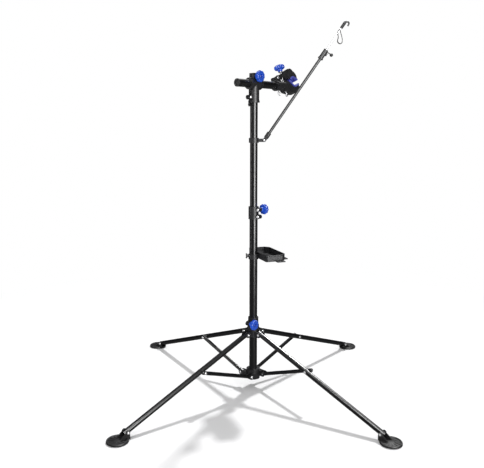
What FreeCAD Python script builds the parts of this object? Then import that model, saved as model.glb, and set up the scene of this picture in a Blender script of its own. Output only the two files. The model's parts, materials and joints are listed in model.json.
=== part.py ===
"""Folding bike repair stand: four scissor legs, a telescopic post, a clamp arm, a tool tray and a
handlebar rod. Millimetres, +Z up. The origin is on the ground, on the post's axis. Every sub-part is
written to parts/NODE.step in its place, with the base open and the post extended."""

import FreeCAD
import Part
import math
import os

# ---- driving dimensions ---------------------------------------------------------------------------
LOWER_TUBE_R = 17.5          # 35 mm lower post tube
UPPER_TUBE_R = 16.0          # 32 mm upper post tube and clamp arm
TUBE_WALL = 1.2
RUN = 0.09                   # radial gap of a part that slides or turns on a tube
BOLT_GAP = 0.08              # radial gap around a bolt or pin

LEG_AZIMUTHS = (225.0, 315.0, 45.0, 135.0)   # leg 1 is front left, then anticlockwise from above
LEG_R = 11.0
STRUT_R = 8.0
PIVOT_RADIUS = 45.0          # both hubs hold their pivots at this distance from the post's axis
FOOT_PIVOT_RADIUS = 678.0
FOOT_PIVOT_HEIGHT = 26.0
HUB_PIVOT_HEIGHT = 252.0
LINK = 280.0                 # strut length, and the same distance along the leg to the strut's pivot
STRUT_SIDE = 24.0            # the struts stand this far to the side of the legs

LOWER_TUBE_TOP = 811.0
COLLAR_BOTTOM = 763.0
COLLAR_TOP = 817.0
UPPER_TUBE_BOTTOM = 600.0
ARM_HEIGHT = 1330.0
NECK_DROP = 76.0             # from the arm's axis down to the neck's lower end
HEAD_YAW = 48.0              # the arm's direction in plan
CLAMP_ROLL = -20.0           # the clamp's turn about the arm
ARM_START = -100.0
ARM_END = 183.0
GRIP_X, GRIP_Z, GRIP_R = 255.0, 18.0, 16.0   # axis and radius of the tube that the jaws hold
GRIP_HALF_WIDTH = 21.0
JAW_PIVOT = (150.0, 30.0)
SCREW_X = 201.0

ROD_COLLAR_HEIGHT = 1098.0
ROD_PIVOT_X = 44.0
ROD_TILT = 34.5              # from the vertical
ROD_OUTER_R = 6.0
ROD_OUTER_END = 436.0
ROD_INNER_R = 2.8
ROD_INNER_END = 568.0

TRAY_YAW = 22.0              # the direction in which the tray stands out from the post
TRAY_FLOOR = 590.0
TRAY_RIM = 617.0
TRAY_NEAR, TRAY_FAR, TRAY_HALF_LENGTH = 18.0, 112.0, 100.0
TRAY_CHAMFER = 20.0          # at the corners away from the post
TRAY_NEAR_CHAMFER = 6.0      # at the corners on the post's side
TRAY_WALL = 2.2

KNOB_R = 23.0
KNOB_LENGTH = 17.0
KNOB_RECESS = 7.0
KNOB_GAP = 0.6               # between a knob's boss and the part that it presses on
KNOB_LOBES = 10

Z_AXIS = FreeCAD.Vector(0, 0, 1)
LEG_RUN = FOOT_PIVOT_RADIUS - PIVOT_RADIUS
LEG_DROP = HUB_PIVOT_HEIGHT - FOOT_PIVOT_HEIGHT
LEG_LENGTH = math.hypot(LEG_RUN, LEG_DROP)
MID_RADIUS = PIVOT_RADIUS + LINK * LEG_RUN / LEG_LENGTH
MID_HEIGHT = HUB_PIVOT_HEIGHT - LINK * LEG_DROP / LEG_LENGTH
BASE_PIVOT_HEIGHT = 2 * MID_HEIGHT - HUB_PIVOT_HEIGHT


# ---- shape helpers --------------------------------------------------------------------------------
def vec(x, y, z):
    return FreeCAD.Vector(x, y, z)


def rod(radius, start, end):
    """A round bar from start to end."""
    along = end - start
    return Part.makeCylinder(radius, along.Length, start, along)


def pipe(radius, wall, start, end):
    along = (end - start).normalize()
    return rod(radius, start, end).cut(rod(radius - wall, start - along, end + along))


def block(x0, x1, y0, y1, z0, z1):
    return Part.makeBox(x1 - x0, y1 - y0, z1 - z0, vec(x0, y0, z0))


def slab(outline, y0, y1):
    """The closed XZ outline, a list of points and edges' mid points, made solid from y0 to y1.
    Each item is (x, z), or (x, z, mid_x, mid_z) for an arc that ends at x, z through the mid point."""
    edges = []
    previous = vec(outline[-1][0], y0, outline[-1][1])
    for item in outline:
        end = vec(item[0], y0, item[1])
        if len(item) == 4:
            edges.append(Part.Arc(previous, vec(item[2], y0, item[3]), end).toShape())
        else:
            edges.append(Part.LineSegment(previous, end).toShape())
        previous = end
    return Part.Face(Part.Wire(edges)).extrude(vec(0, y1 - y0, 0))


def join(shapes):
    whole = shapes[0]
    if len(shapes) > 1:
        whole = whole.fuse(list(shapes[1:]))
    return whole.removeSplitter()


def bolt(radius, start, end, head_radius, head):
    """A bolt with a head outside start and a nut of the same size outside end, as one solid."""
    along = (end - start).normalize()
    return join([
        rod(radius, start - along * head, end + along * head),
        rod(head_radius, start - along * head, start),
        rod(head_radius, end, end + along * head),
    ])


def turned(shape, degrees, centre=None, axis=Z_AXIS):
    copy = shape.copy()
    copy.rotate(centre or vec(0, 0, 0), axis, degrees)
    return copy


def star_knob(radius, bore_radius, seat):
    """A lobed hand knob on +Z: a boss of length seat from z 0, then the knob, its face recessed."""
    length = seat + KNOB_LENGTH
    knob = Part.makeCylinder(radius, KNOB_LENGTH, vec(0, 0, seat))
    knob = knob.fuse(Part.makeCylinder(radius * 0.45, seat + 1))
    groove_r = radius * 0.2
    for i in range(KNOB_LOBES):
        angle = 2 * math.pi * i / KNOB_LOBES
        centre = vec(radius * 1.08 * math.cos(angle), radius * 1.08 * math.sin(angle), seat - 1)
        knob = knob.cut(Part.makeCylinder(groove_r, length, centre))
    knob = knob.cut(Part.makeCylinder(radius * 0.33, length, vec(0, 0, length - KNOB_RECESS)))
    return knob.cut(Part.makeCylinder(bore_radius, length, vec(0, 0, -1))).removeSplitter()


def wing_knob(radius, shank_end, shank_start):
    """A thumb screw on +Z: shank up to shank_start, and a flat wing from there to shank_end."""
    wing = block(-radius, radius, -2.2, 2.2, shank_start, shank_end)
    return join([wing, Part.makeCylinder(4.5, shank_end - shank_start - 5, vec(0, 0, shank_start))])


def stand_on(shape, origin, direction):
    """Moves a shape made on +Z at the origin to origin, with its +Z along direction."""
    copy = shape.copy()
    copy.Placement = FreeCAD.Placement(origin, FreeCAD.Rotation(Z_AXIS, direction))
    return copy


def save(name, shapes):
    """Writes one node: a single solid, or a group of separate solids."""
    if not isinstance(shapes, (list, tuple)):
        shapes = [shapes]
    solids = [solid for shape in shapes for solid in shape.Solids]
    shape = solids[0] if len(solids) == 1 else Part.makeCompound(solids)
    shape.exportStep(f"parts/{name}.step")


# ---- base -----------------------------------------------------------------------------------------
FORK_GAP = 0.4               # between a fork's plates and the leg or strut in it
PLATE = 4.0
BASE_HUB_R = 30.0
BASE_HUB_HALF = 22.0
PIVOT_BOLT_R = 3.0
BOLT_HEAD_R = 6.0
BOLT_HEAD = 3.5


def tangential_bolt(radius, height, side_a, side_b):
    """A pivot bolt across the leg's plane, at this radius and height, between the two sides."""
    return bolt(PIVOT_BOLT_R, vec(radius, side_a, height), vec(radius, side_b, height),
                BOLT_HEAD_R, BOLT_HEAD)


def bolt_hole(radius, height, side_a, side_b):
    return rod(PIVOT_BOLT_R + BOLT_GAP, vec(radius, side_a, height), vec(radius, side_b, height))


def fork(height, near, far, half_height, sides):
    """Plates that stand out from a hub around one pivot."""
    plates = []
    for y0, y1 in sides:
        plate = block(near, far, y0, y1, height - half_height, height + half_height)
        round_end = rod(half_height, vec(PIVOT_RADIUS, y0, height), vec(PIVOT_RADIUS, y1, height))
        straight = block(near, PIVOT_RADIUS, y0, y1, height - half_height, height + half_height)
        plates.append(plate.common(join([straight, round_end])))
    return plates


def build_base_hub():
    z = BASE_PIVOT_HEIGHT
    low, high = z - BASE_HUB_HALF, z + BASE_HUB_HALF
    inner = STRUT_SIDE - STRUT_R - FORK_GAP
    outer = STRUT_SIDE + STRUT_R + FORK_GAP
    sides = ((inner - 3.2, inner), (outer, outer + PLATE))
    body = Part.makeCylinder(BASE_HUB_R, high - low, vec(0, 0, low))
    plates = [turned(plate, azimuth) for azimuth in LEG_AZIMUTHS
              for plate in fork(z, 14.0, 57.0, 11.0, sides)]
    arms = [turned(block(8, 32, inner - 3.2, outer + PLATE, z - 11, z + 11), azimuth)
            for azimuth in LEG_AZIMUTHS]
    hub = join([body] + arms + plates)
    socket = Part.makeCylinder(LOWER_TUBE_R + 0.02, high - low, vec(0, 0, low + 4))
    drain = Part.makeCylinder(6, 10, vec(0, 0, low - 1))
    hub = hub.cut(join([socket, drain]))
    bolts = []
    for azimuth in LEG_AZIMUTHS:
        hub = hub.cut(turned(bolt_hole(PIVOT_RADIUS, z, inner - 4, outer + 5), azimuth))
        start = inner - 3.2
        shank = rod(PIVOT_BOLT_R, vec(PIVOT_RADIUS, start, z), vec(PIVOT_RADIUS, outer + PLATE, z))
        head = rod(BOLT_HEAD_R, vec(PIVOT_RADIUS, outer + PLATE, z),
                   vec(PIVOT_RADIUS, outer + PLATE + BOLT_HEAD, z))
        bolts.append(turned(join([shank, head]), azimuth))
    save("base_hub", hub)
    save("base_hub_bolts", bolts)
    return low + 4


def build_lower_tube(bottom):
    save("lower_tube", pipe(LOWER_TUBE_R, TUBE_WALL, vec(0, 0, bottom), vec(0, 0, LOWER_TUBE_TOP)))


def link_bar(radius, wall, start, end, overhang):
    """A tube through two pivots, running past each of them by overhang."""
    along = (end - start).normalize()
    return pipe(radius, wall, start - along * overhang, end + along * overhang)


def build_legs():
    top = vec(PIVOT_RADIUS, 0, HUB_PIVOT_HEIGHT)
    foot = vec(FOOT_PIVOT_RADIUS, 0, FOOT_PIVOT_HEIGHT)
    leg = link_bar(LEG_R, 1.5, top, foot, 12.0)
    base = vec(PIVOT_RADIUS, STRUT_SIDE, BASE_PIVOT_HEIGHT)
    mid = vec(MID_RADIUS, STRUT_SIDE, MID_HEIGHT)
    strut = link_bar(STRUT_R, 1.2, base, mid, 9.0)
    far_side = STRUT_SIDE + STRUT_R + 1
    for radius, height in ((PIVOT_RADIUS, HUB_PIVOT_HEIGHT), (MID_RADIUS, MID_HEIGHT),
                           (FOOT_PIVOT_RADIUS, FOOT_PIVOT_HEIGHT)):
        leg = leg.cut(bolt_hole(radius, height, -LEG_R - 1, LEG_R + 1))
    for radius, height in ((PIVOT_RADIUS, BASE_PIVOT_HEIGHT), (MID_RADIUS, MID_HEIGHT)):
        strut = strut.cut(bolt_hole(radius, height, STRUT_SIDE - STRUT_R - 1, far_side))
    side = LEG_R + FORK_GAP + PLATE
    mid_bolt = tangential_bolt(MID_RADIUS, MID_HEIGHT, -LEG_R - 0.3, STRUT_SIDE + STRUT_R + 0.3)
    spacer = rod(6.5, vec(MID_RADIUS, LEG_R + 0.2, MID_HEIGHT),
                 vec(MID_RADIUS, STRUT_SIDE - STRUT_R - 0.3, MID_HEIGHT))
    spacer = spacer.cut(rod(PIVOT_BOLT_R, vec(MID_RADIUS, 0, MID_HEIGHT),
                            vec(MID_RADIUS, STRUT_SIDE, MID_HEIGHT)))
    foot_bolt = tangential_bolt(FOOT_PIVOT_RADIUS, FOOT_PIVOT_HEIGHT, -side - 0.2, side + 0.2)
    for number, azimuth in enumerate(LEG_AZIMUTHS, 1):
        save(f"leg_{number}", turned(leg, azimuth))
        save(f"strut_{number}", turned(strut, azimuth))
        save(f"leg_bolts_{number}", [turned(s, azimuth) for s in (mid_bolt, spacer, foot_bolt)])


PAD_R = 42.5
PAD_CENTRE = FOOT_PIVOT_RADIUS + 38.0
PAD_THICK = 9.0


def build_foot_pads():
    inner = LEG_R + FORK_GAP
    disc = Part.makeCylinder(PAD_R, PAD_THICK, vec(PAD_CENTRE, 0, 0))
    disc = disc.makeFillet(2.5, [edge for edge in disc.Edges if isinstance(edge.Curve, Part.Circle)
                                 and edge.CenterOfMass.z > PAD_THICK / 2])
    lugs = []
    x = FOOT_PIVOT_RADIUS
    z = FOOT_PIVOT_HEIGHT
    outline = [(x - 9, z), (x + 9, z, x, z + 9), (x + 34, PAD_THICK - 3), (x - 4, PAD_THICK - 3),
               (x - 9, PAD_THICK)]
    for side in (-1, 1):
        y0, y1 = sorted((side * inner, side * (inner + PLATE)))
        lugs.append(slab(outline, y0, y1))
    toe = block(x - 9, x + 10, -inner - PLATE, inner + PLATE, 1.0, PAD_THICK - 1)
    pad = join([disc, toe] + lugs)
    pad = pad.cut(bolt_hole(x, z, -25, 25))
    for number, azimuth in enumerate(LEG_AZIMUTHS, 1):
        save(f"foot_pad_{number}", turned(pad, azimuth))


HUB_R = 26.0
HUB_BOTTOM = 237.0
HUB_TOP = 324.0
HUB_EAR_AZIMUTH = -130.0
HUB_EAR_REACH, HUB_EAR_HALF = 32.0, 10.0     # the ears' bolt from the post's axis; half their width
HUB_BOLT_HEIGHT = 301.0
HUB_SLIT = 34.0              # depth of the slit and of the neck that it opens, from the hub's top
EAR_KNOB_SEAT = 13.2         # keeps the knob clear of the sleeve beside the ears
EAR_BOLT_R = 3.0
SLIT_HALF = 1.5


def clamp_ears(azimuth, height, round_r, near, reach, half_width):
    """A sleeve's ears before it is slit: a block with a round end about the bolt at reach."""
    straight = block(near, reach, -half_width, half_width, height - round_r, height + round_r)
    end = rod(round_r, vec(reach, -half_width, height), vec(reach, half_width, height))
    return turned(join([straight, end]), azimuth)


def ear_bolt(azimuth, height, reach, half_width, knob_side):
    """The bolt across a pair of ears. Past the ear on knob_side it runs on to carry a hand knob."""
    tail = KNOB_GAP + EAR_KNOB_SEAT + KNOB_LENGTH - KNOB_RECESS if knob_side else 0.0
    side = knob_side or 1
    start = vec(reach, -side * half_width, height)
    end = vec(reach, side * half_width, height)
    along = (end - start).normalize()
    parts = [rod(EAR_BOLT_R, start - along * 4, end + along * (tail or 4.0)),
             rod(6.0, start - along * 4, start)]
    if not knob_side:
        parts.append(rod(5.5, end, end + along * 4))
    return turned(join(parts), azimuth)


def ear_hole(azimuth, height, reach):
    return turned(rod(EAR_BOLT_R + BOLT_GAP, vec(reach, -30, height), vec(reach, 30, height)), azimuth)


def ear_knob(azimuth, height, reach, half_width, side):
    knob = star_knob(KNOB_R, EAR_BOLT_R + BOLT_GAP, EAR_KNOB_SEAT)
    knob = stand_on(knob, vec(reach, side * (half_width + KNOB_GAP), height), vec(0, side, 0))
    return turned(knob, azimuth)


def build_upper_hub():
    z = HUB_PIVOT_HEIGHT
    inner = LEG_R + FORK_GAP
    sides = ((-inner - PLATE, -inner), (inner, inner + PLATE))
    slit_bottom = HUB_TOP - HUB_SLIT
    sleeve = Part.makeCylinder(HUB_R, slit_bottom - HUB_BOTTOM, vec(0, 0, HUB_BOTTOM))
    neck = Part.makeCylinder(HUB_R - 3, HUB_SLIT + 2, vec(0, 0, slit_bottom - 2))
    plates = [turned(plate, azimuth) for azimuth in LEG_AZIMUTHS
              for plate in fork(z, 14.0, 57.0, 12.0, sides)]
    ears = clamp_ears(HUB_EAR_AZIMUTH, HUB_BOLT_HEIGHT, 10.0, 16.0, HUB_EAR_REACH, HUB_EAR_HALF)
    hub = join([sleeve, neck, ears] + plates)
    hub = hub.cut(Part.makeCylinder(LOWER_TUBE_R + RUN, 200, vec(0, 0, HUB_BOTTOM - 50)))
    slit = block(10, 50, -SLIT_HALF, SLIT_HALF, slit_bottom, HUB_TOP + 1)
    hub = hub.cut(turned(slit, HUB_EAR_AZIMUTH))
    hub = hub.cut(ear_hole(HUB_EAR_AZIMUTH, HUB_BOLT_HEIGHT, HUB_EAR_REACH))
    bolts = []
    for azimuth in LEG_AZIMUTHS:
        # relief for the leg's end between the plates, and the pivot hole
        relief = block(PIVOT_RADIUS - 14, 60, -inner, inner, HUB_BOTTOM - 1, z + 14)
        hub = hub.cut(turned(relief, azimuth))
        hub = hub.cut(turned(bolt_hole(PIVOT_RADIUS, z, -30, 30), azimuth))
        bolts.append(turned(tangential_bolt(PIVOT_RADIUS, z, -inner - PLATE - 0.1,
                                            inner + PLATE + 0.1), azimuth))
    save("upper_hub", hub)
    save("upper_hub_bolts", bolts)
    ear = (HUB_EAR_AZIMUTH, HUB_BOLT_HEIGHT, HUB_EAR_REACH, HUB_EAR_HALF, 1)
    save("upper_hub_clamp_bolt", ear_bolt(*ear))
    save("upper_hub_knob", ear_knob(*ear))


# ---- post -----------------------------------------------------------------------------------------
COLLAR_R = 22.0
COLLAR_EAR_AZIMUTH = -40.0
COLLAR_EAR_REACH, COLLAR_EAR_HALF = 31.0, 9.0
COLLAR_BOLT_HEIGHTS = (COLLAR_BOTTOM + 12.0, COLLAR_TOP - 12.0)


def build_collar():
    body = Part.makeCylinder(COLLAR_R, COLLAR_TOP - COLLAR_BOTTOM, vec(0, 0, COLLAR_BOTTOM))
    ears = [clamp_ears(COLLAR_EAR_AZIMUTH, height, 8.5, 14.0, COLLAR_EAR_REACH, COLLAR_EAR_HALF)
            for height in COLLAR_BOLT_HEIGHTS]
    collar = join([body] + ears)
    low_bore = Part.makeCylinder(LOWER_TUBE_R + 0.02, LOWER_TUBE_TOP + 0.5 - COLLAR_BOTTOM + 1,
                                 vec(0, 0, COLLAR_BOTTOM - 1))
    top_bore = Part.makeCylinder(UPPER_TUBE_R + RUN, 20, vec(0, 0, COLLAR_TOP - 12))
    slit = block(8, 45, -SLIT_HALF, SLIT_HALF, COLLAR_BOTTOM - 1, COLLAR_TOP + 1)
    collar = collar.cut(join([low_bore, top_bore])).cut(turned(slit, COLLAR_EAR_AZIMUTH))
    for height in COLLAR_BOLT_HEIGHTS:
        collar = collar.cut(ear_hole(COLLAR_EAR_AZIMUTH, height, COLLAR_EAR_REACH))
    save("post_collar", collar)
    plain, knobbed = [(COLLAR_EAR_AZIMUTH, height, COLLAR_EAR_REACH, COLLAR_EAR_HALF, knob_side)
                      for height, knob_side in zip(COLLAR_BOLT_HEIGHTS, (0, 1))]
    save("post_collar_bolts", [ear_bolt(*plain), ear_bolt(*knobbed)])
    save("post_collar_knob", ear_knob(*knobbed))


def build_upper_tube():
    bottom = UPPER_TUBE_BOTTOM
    top = ARM_HEIGHT - 19.0
    tube = pipe(UPPER_TUBE_R, TUBE_WALL, vec(0, 0, bottom), vec(0, 0, top))
    screw_at = turned(rod(3.0, vec(-30, 0, ARM_HEIGHT - NECK_DROP - 9),
                          vec(-10, 0, ARM_HEIGHT - NECK_DROP - 9)), HEAD_YAW)
    plug_r = LOWER_TUBE_R - TUBE_WALL - 0.06
    plug = join([Part.makeCylinder(plug_r, 8, vec(0, 0, bottom - 8)),
                 Part.makeCylinder(UPPER_TUBE_R - TUBE_WALL - 0.02, 25, vec(0, 0, bottom - 8))])
    plug = plug.cut(Part.makeCylinder(9, 60, vec(0, 0, bottom - 20)))
    save("upper_tube", tube.cut(screw_at))
    save("upper_tube_plug", plug)


def build_neck_screw():
    """The small screw under the head that stops it sliding down the tube."""
    height = ARM_HEIGHT - NECK_DROP - 9
    screw = join([Part.makeCylinder(2.95, 14), wing_knob(8.0, 23.0, 7.0)])
    screw = stand_on(screw, vec(-13.5, 0, height), vec(-1, 0, 0))
    save("neck_screw", turned(screw, HEAD_YAW))


# ---- head and arm ---------------------------------------------------------------------------------
def on_head(shape):
    """Head coordinates (x along the arm, z 0 on the arm's axis) to the stand's."""
    copy = turned(shape, HEAD_YAW)
    copy.translate(vec(0, 0, ARM_HEIGHT))
    return copy


HEAD_R = 22.0
HEAD_HALF = 33.5
NECK_BOLT_Z = -55.0
NECK_BOLT_X = -31.0
LUG_BOLT_Z = 29.0
HEAD_KNOB_SEAT = 11.0


def build_head():
    sleeve = rod(HEAD_R, vec(-HEAD_HALF, 0, 0), vec(HEAD_HALF, 0, 0))
    rims = [rod(HEAD_R + 2, vec(x, 0, 0), vec(x + 6, 0, 0)) for x in (-HEAD_HALF, HEAD_HALF - 6)]
    neck = Part.makeCylinder(HEAD_R, NECK_DROP, vec(0, 0, -NECK_DROP))
    lip = Part.makeCylinder(HEAD_R + 2, 8, vec(0, 0, -NECK_DROP))
    lugs = block(-15, 15, -13, 13, 8, 43)
    ears = clamp_ears(180, NECK_BOLT_Z, 9.0, 12.0, -NECK_BOLT_X, 10.0)
    head = join([sleeve, neck, lip, lugs, ears] + rims)
    head = head.cut(rod(UPPER_TUBE_R + RUN, vec(-50, 0, 0), vec(50, 0, 0)))
    head = head.cut(Part.makeCylinder(UPPER_TUBE_R + RUN, NECK_DROP, vec(0, 0, -NECK_DROP - 18)))
    head = head.cut(block(-50, 50, -SLIT_HALF, SLIT_HALF, 10, 60))
    head = head.cut(block(-50, -10, -SLIT_HALF, SLIT_HALF, -NECK_DROP - 1, -32))
    head = head.cut(rod(3.0 + BOLT_GAP, vec(NECK_BOLT_X, -40, NECK_BOLT_Z),
                        vec(NECK_BOLT_X, 40, NECK_BOLT_Z)))
    head = head.cut(rod(4.0 + BOLT_GAP, vec(0, -40, LUG_BOLT_Z), vec(0, 40, LUG_BOLT_Z)))
    save("head", on_head(head))
    save("head_neck_bolt", on_head(bolt(3.0, vec(NECK_BOLT_X, -10, NECK_BOLT_Z),
                                        vec(NECK_BOLT_X, 10, NECK_BOLT_Z), 6.0, 4.0)))
    knob_end = 13 + KNOB_GAP + HEAD_KNOB_SEAT + KNOB_LENGTH - KNOB_RECESS
    clamp_bolt = join([rod(4.0, vec(0, 18, LUG_BOLT_Z), vec(0, -knob_end, LUG_BOLT_Z)),
                       rod(7.0, vec(0, 13, LUG_BOLT_Z), vec(0, 18, LUG_BOLT_Z))])
    save("head_clamp_bolt", on_head(clamp_bolt))
    knob = star_knob(KNOB_R + 1, 4.0 + BOLT_GAP, HEAD_KNOB_SEAT)
    save("head_knob", on_head(stand_on(knob, vec(0, -13 - KNOB_GAP, LUG_BOLT_Z), vec(0, -1, 0))))


def build_arm():
    arm = pipe(UPPER_TUBE_R, TUBE_WALL, vec(ARM_START, 0, 0), vec(ARM_END, 0, 0))
    inner = UPPER_TUBE_R - TUBE_WALL - 0.02
    cap = join([rod(UPPER_TUBE_R + 0.6, vec(ARM_START - 4, 0, 0), vec(ARM_START - 0.05, 0, 0)),
                rod(inner, vec(ARM_START - 1, 0, 0), vec(ARM_START + 16, 0, 0))])
    cap = cap.cut(rod(10.5, vec(ARM_START - 5, 0, 0), vec(ARM_START - 2, 0, 0)))
    save("arm_tube", on_head(arm))
    save("arm_end_cap", on_head(cap))


# ---- jaws -----------------------------------------------------------------------------------------
def on_clamp(shape):
    """Clamp coordinates, before its turn about the arm, to the stand's."""
    return on_head(turned(shape, CLAMP_ROLL, axis=vec(1, 0, 0)))


def at_angle(degrees, radius=GRIP_R):
    """A point of the grip circle, in the clamp's XZ plane."""
    angle = math.radians(degrees)
    return GRIP_X + radius * math.cos(angle), GRIP_Z + radius * math.sin(angle)


def beyond(point, degrees, distance):
    angle = math.radians(degrees)
    return point[0] + distance * math.cos(angle), point[1] + distance * math.sin(angle)


PAD_THICKNESS = 8.0
OPEN_ANGLE = 25.0            # slope of the pad's outer wall, on the mouth's side


def pad_outline(side, rear_length, front_length):
    """A pad's outline: a wall at 45 degrees, an arc of the grip circle and a flatter wall. side is -1
    for the lower pad and +1 for the upper one."""
    outer_r = GRIP_R + PAD_THICKNESS
    rear, front, middle = 180 - side * 45, side * (90 - OPEN_ANGLE), side * 100
    rear_way = 180 + side * 45
    front_way = -side * OPEN_ANGLE
    inner_rear = at_angle(rear)
    inner_front = at_angle(front)
    outer_rear = at_angle(rear, outer_r)
    outer_front = at_angle(front, outer_r)
    return [beyond(inner_rear, rear_way, rear_length), inner_rear,
            inner_front + at_angle(middle),
            beyond(inner_front, front_way, front_length),
            beyond(outer_front, front_way, front_length), outer_front,
            outer_rear + at_angle(middle, outer_r),
            beyond(outer_rear, rear_way, rear_length)]


LOWER_PAD = pad_outline(-1, 23.0, 23.0)
UPPER_PAD = pad_outline(1, 7.0, 21.0)


def build_pads():
    width = GRIP_HALF_WIDTH
    save("lower_jaw_pad", on_clamp(slab(LOWER_PAD, -width, width)))
    save("upper_jaw_pad", on_clamp(slab(UPPER_PAD, -width, width)))


def pad_back(outline):
    """The pad's outer side, from the mouth to the rear, for the jaw that carries it."""
    return outline[4:]


JAW_HALF_WIDTH = 17.0
EAR_INSIDE = 11.4            # half the gap between the ears that hold the upper jaw


def build_lower_jaw():
    sleeve = rod(20.5, vec(137, 0, 0), vec(196, 0, 0))
    rim = rod(23.0, vec(137, 0, 0), vec(143, 0, 0))
    seat = pad_back(LOWER_PAD)
    jaw = slab(seat + [(210, 20), (186, 19), (172, 0), (190, -25), (222, -31), (258, -31, 240, -32),
                       (288, -4, 277, -21)], -JAW_HALF_WIDTH, JAW_HALF_WIDTH)
    x, z = JAW_PIVOT
    ears = [slab([(x - 14, 2), (x - 9, z + 2), (x + 9, z + 2, x, z + 11), (x + 24, 2)], y0, y1)
            for y0, y1 in ((-JAW_HALF_WIDTH, -EAR_INSIDE), (EAR_INSIDE, JAW_HALF_WIDTH))]
    body = join([sleeve, rim, jaw] + ears)
    body = body.cut(rod(UPPER_TUBE_R + 0.05, vec(130, 0, 0), vec(ARM_END + 0.5, 0, 0)))
    body = body.cut(rod(9.6, vec(x, -EAR_INSIDE, z), vec(x, EAR_INSIDE, z)))
    body = body.cut(rod(3.0 + BOLT_GAP, vec(x, -30, z), vec(x, 30, z)))
    body = body.cut(block(SCREW_X - 7, SCREW_X + 7, -5.5, 5.5, -40, 30))
    body = body.cut(rod(7.05, vec(SCREW_X, -12, 0), vec(SCREW_X, 12, 0)))
    body = body.cut(Part.makeCylinder(3.1, 30, vec(x, 0, -40)))
    save("clamp_body", on_clamp(body))
    nut = rod(7.0, vec(SCREW_X, -11.5, 0), vec(SCREW_X, 11.5, 0))
    nut = nut.cut(Part.makeCylinder(4.0 + 0.1, 60, vec(SCREW_X, 0, -30)))
    save("barrel_nut", on_clamp(nut))
    save("jaw_pivot_bolt", on_clamp(bolt(3.0, vec(x, -17.1, z), vec(x, 17.1, z), 6.0, 3.5)))


def build_upper_jaw():
    x, z = JAW_PIVOT
    seat = pad_back(UPPER_PAD)
    nose = (286, 44, 280, 60)
    tongue = slab(seat + [(222, 34), (196, 37), (x + 3, z - 9), (x - 3, z + 9, x - 9, z - 2),
                          (204, 58), (234, 76), (268, 68, 252, 80), nose], -10.8, 10.8)
    cheeks = slab(seat + [(226, 60), (240, 76.5), (268, 68, 253, 79), nose],
                  -JAW_HALF_WIDTH, JAW_HALF_WIDTH)
    jaw = join([tongue, cheeks])
    jaw = jaw.cut(rod(3.0 + BOLT_GAP, vec(x, -30, z), vec(x, 30, z)))
    jaw = jaw.cut(block(SCREW_X - 10, SCREW_X + 18, -5.2, 5.2, 20, 90))
    save("upper_jaw", on_clamp(jaw))


SCREW_LOW = -46.0
SCREW_HIGH = 88.0
STEM = 7.0                   # the clamp knob's neck
SHOULDER = 64.5              # the screw's shoulder stands just above the upper jaw


def build_clamp_screw():
    screw = join([Part.makeCylinder(4.0, SCREW_HIGH - SCREW_LOW, vec(SCREW_X, 0, SCREW_LOW)),
                  Part.makeCylinder(5.0, 7, vec(SCREW_X, 0, SCREW_LOW))])
    washer = Part.makeCylinder(9.0, 2.5, vec(SCREW_X, 0, SHOULDER))
    save("clamp_screw", on_clamp(join([screw, washer])))
    knob = star_knob(KNOB_R + 0.5, 4.0 + BOLT_GAP, 4.0)
    stem = Part.makeCylinder(7.5, STEM + 4, vec(0, 0, -STEM))
    stem = stem.cut(Part.makeCylinder(4.0 + BOLT_GAP, 60, vec(0, 0, -20)))
    knob = join([knob, stem])
    knob.translate(vec(SCREW_X, 0, SHOULDER + 2.7 + STEM))
    save("clamp_knob", on_clamp(knob))


def build_lock_pin():
    """The spring pin under the clamp's sleeve, with its wire pull ring."""
    x = JAW_PIVOT[0]
    pin = Part.makeCylinder(3.0, 15, vec(x, 0, -31.5))
    wire = 1.3
    drop = -44.0
    ring = join([rod(wire, vec(x - 7, 0, -30), vec(x + 7, 0, -30)),
                 rod(wire, vec(x - 7, 0, -30), vec(x - 7, 0, drop)),
                 rod(wire, vec(x + 7, 0, -30), vec(x + 7, 0, drop)),
                 rod(wire, vec(x - 7, 0, drop), vec(x + 7, 0, drop)),
                 Part.makeSphere(wire, vec(x - 7, 0, drop)), Part.makeSphere(wire, vec(x + 7, 0, drop)),
                 Part.makeSphere(wire, vec(x - 7, 0, -30)), Part.makeSphere(wire, vec(x + 7, 0, -30))])
    save("lock_pin", on_clamp(join([pin, ring])))


# ---- handlebar rod --------------------------------------------------------------------------------
def on_rod(shape):
    """Rod coordinates (z along the rod from its pivot) to the stand's."""
    copy = turned(shape, ROD_TILT, axis=vec(0, 1, 0))
    copy.translate(vec(ROD_PIVOT_X, 0, ROD_COLLAR_HEIGHT))
    return copy


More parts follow.
